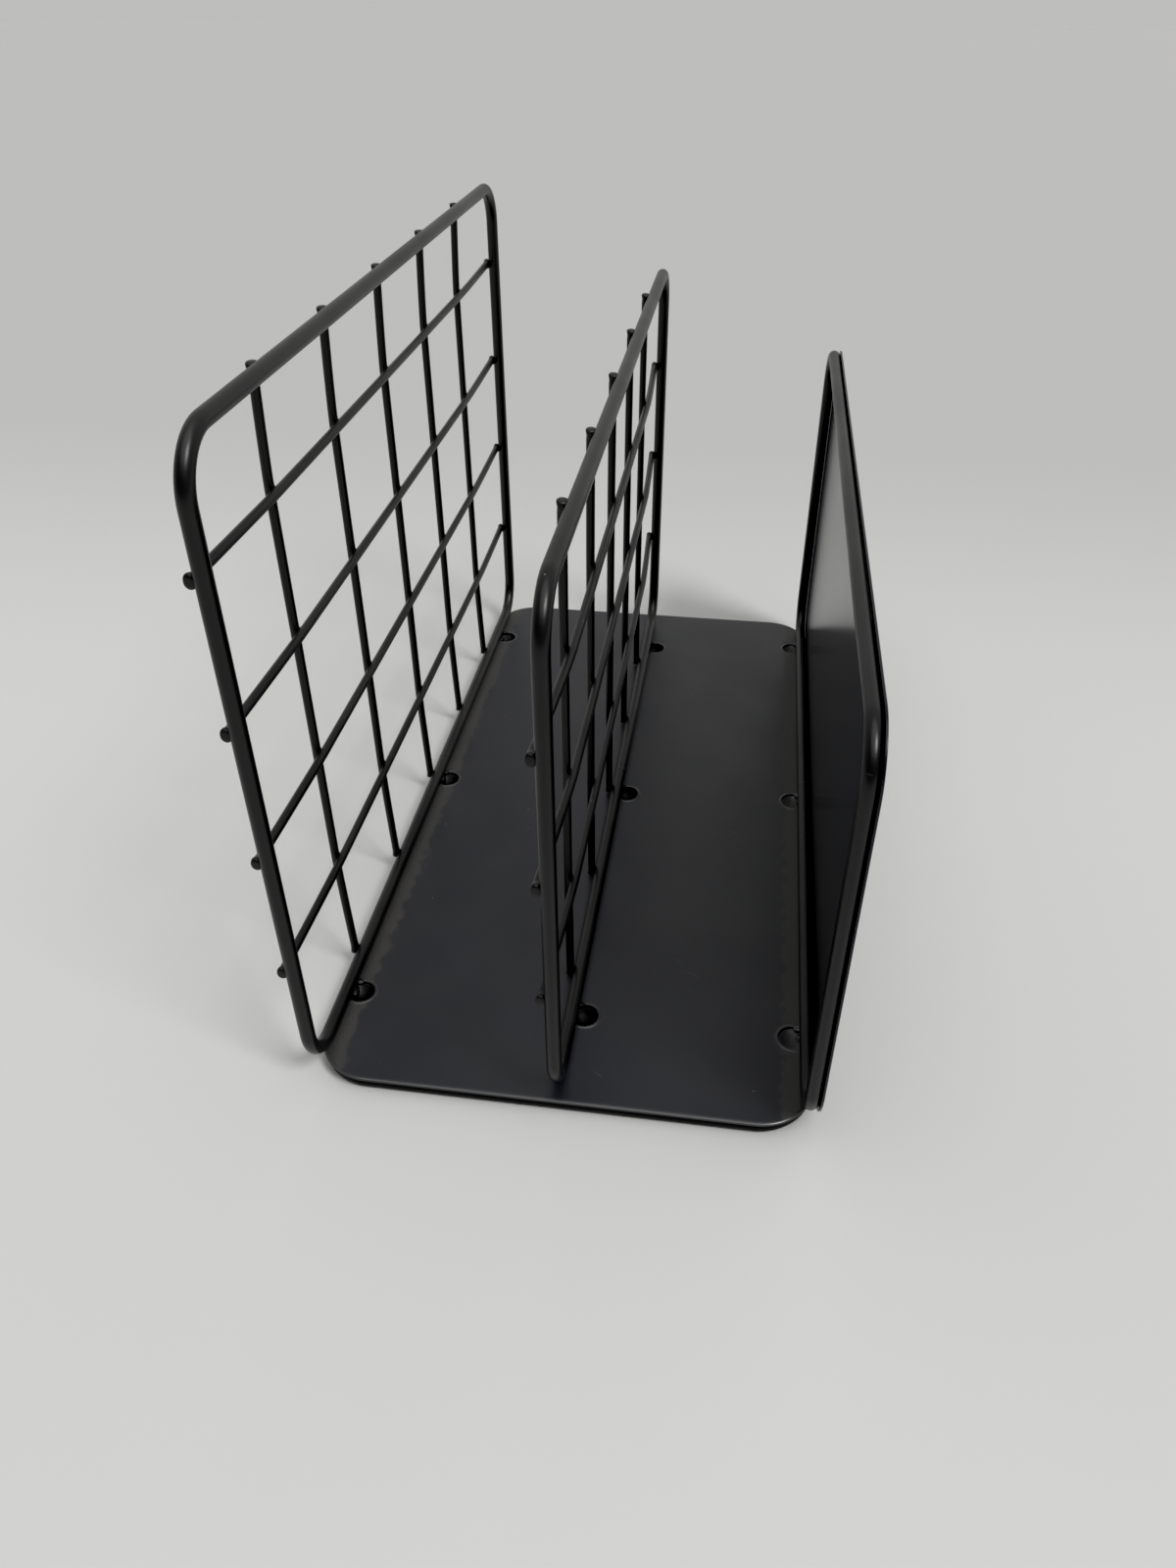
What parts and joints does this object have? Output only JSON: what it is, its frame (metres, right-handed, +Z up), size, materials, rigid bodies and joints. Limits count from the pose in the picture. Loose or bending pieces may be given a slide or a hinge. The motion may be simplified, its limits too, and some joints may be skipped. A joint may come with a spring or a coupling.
{
  "type": "magazine rack",
  "caption": "Desktop magazine rack: stepped wire-grid panels and a low sheet-backed panel stand across a rounded sheet base on a wire rim, welded and powder-coated.",
  "frame": {"origin": "on the surface the rack stands on, under the middle of its overall box", "axes": "+Z up, +Y to the back, +X from the tall panel to the low panel"},
  "size_m": [0.1742, 0.342, 0.225],
  "materials": {
    "loop_coat": "satin black powder coat on round steel wire, fine texture",
    "grid_coat": "satin black powder coat on thin steel wire",
    "base_coat": "satin black powder coat on flat steel sheet, fine texture, light dust and scuffs",
    "panel_coat": "smoother satin black powder coat on flat steel sheet",
    "tack_coat": "black powder coat over a small rough weld bead"
  },
  "bodies": {
    "root": {"base_sheet": "base_coat", "base_rim_wire": "loop_coat", "tall_panel_loop": "loop_coat", "tall_row_1": "grid_coat", "tall_row_2": "grid_coat", "tall_row_3": "grid_coat", "tall_row_4": "grid_coat", "tall_column_1": "grid_coat", "tall_column_2": "grid_coat", "tall_column_3": "grid_coat", "tall_column_4": "grid_coat", "tall_column_5": "grid_coat", "middle_panel_loop": "loop_coat", "middle_row_1": "grid_coat", "middle_row_2": "grid_coat", "middle_row_3": "grid_coat", "middle_column_1": "grid_coat", "middle_column_2": "grid_coat", "middle_column_3": "grid_coat", "middle_column_4": "grid_coat", "middle_column_5": "grid_coat", "low_panel_loop": "loop_coat", "low_panel_sheet": "panel_coat", "tall_tack_1": "tack_coat", "tall_tack_2": "tack_coat", "tall_tack_3": "tack_coat", "middle_tack_1": "tack_coat", "middle_tack_2": "tack_coat", "middle_tack_3": "tack_coat", "low_tack_1": "tack_coat", "low_tack_2": "tack_coat", "low_tack_3": "tack_coat"}
  },
  "joints": []
}
